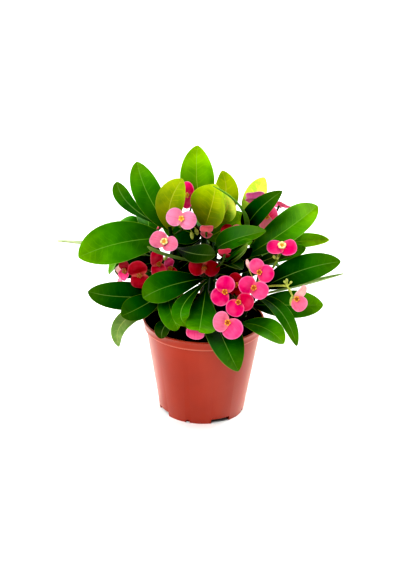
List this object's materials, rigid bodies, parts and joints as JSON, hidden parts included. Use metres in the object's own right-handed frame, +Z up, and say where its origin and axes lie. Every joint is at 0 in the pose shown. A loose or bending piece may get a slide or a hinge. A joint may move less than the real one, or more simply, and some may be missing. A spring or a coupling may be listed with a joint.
{
  "type": "potted euphorbia",
  "caption": "Crown of thorns euphorbia in a tapered terracotta-coloured plastic nursery pot: spiny upright stems, leathery green leaves and clusters of paired pink bracts. Stands on its base.",
  "frame": {"origin": "centre of the underside of the pot, on the ground", "axes": "+X to the right in the picture, +Y away from the camera, +Z up"},
  "size_m": [0.2858, 0.1936, 0.2612],
  "materials": {
    "pot": "satin",
    "soil": "matte, crumbly",
    "wood": "matte bark",
    "leaf": "waxy leaf",
    "bract": "satin petal"
  },
  "bodies": {
    "root": {"pot": "pot", "soil": "soil", "stem_west": "wood", "stem_crown": "wood", "stem_east": "wood", "stem_southeast": "wood", "stem_southwest": "wood", "stem_south": "wood", "stem_front": "wood", "stem_heart": "wood", "stem_northwest": "wood", "stem_north": "wood", "stem_northeast": "wood", "shoot_west": "leaf", "shoot_crown": "leaf", "shoot_east": "leaf", "shoot_southeast": "leaf", "shoot_southwest": "leaf", "shoot_south": "leaf", "shoot_front": "leaf", "shoot_heart": "leaf", "shoot_northwest": "leaf", "shoot_north": "leaf", "shoot_northeast": "leaf", "bloom_01": "bract", "bloom_02": "bract", "bloom_03": "bract", "bloom_04": "bract", "bloom_05": "bract", "bloom_06": "bract", "bloom_07": "bract", "bloom_08": "bract", "bloom_09": "bract", "bloom_10": "bract", "bloom_11": "bract", "bloom_12": "bract", "bloom_13": "bract", "bloom_14": "bract", "bloom_15": "bract", "bloom_16": "bract"}
  },
  "joints": []
}
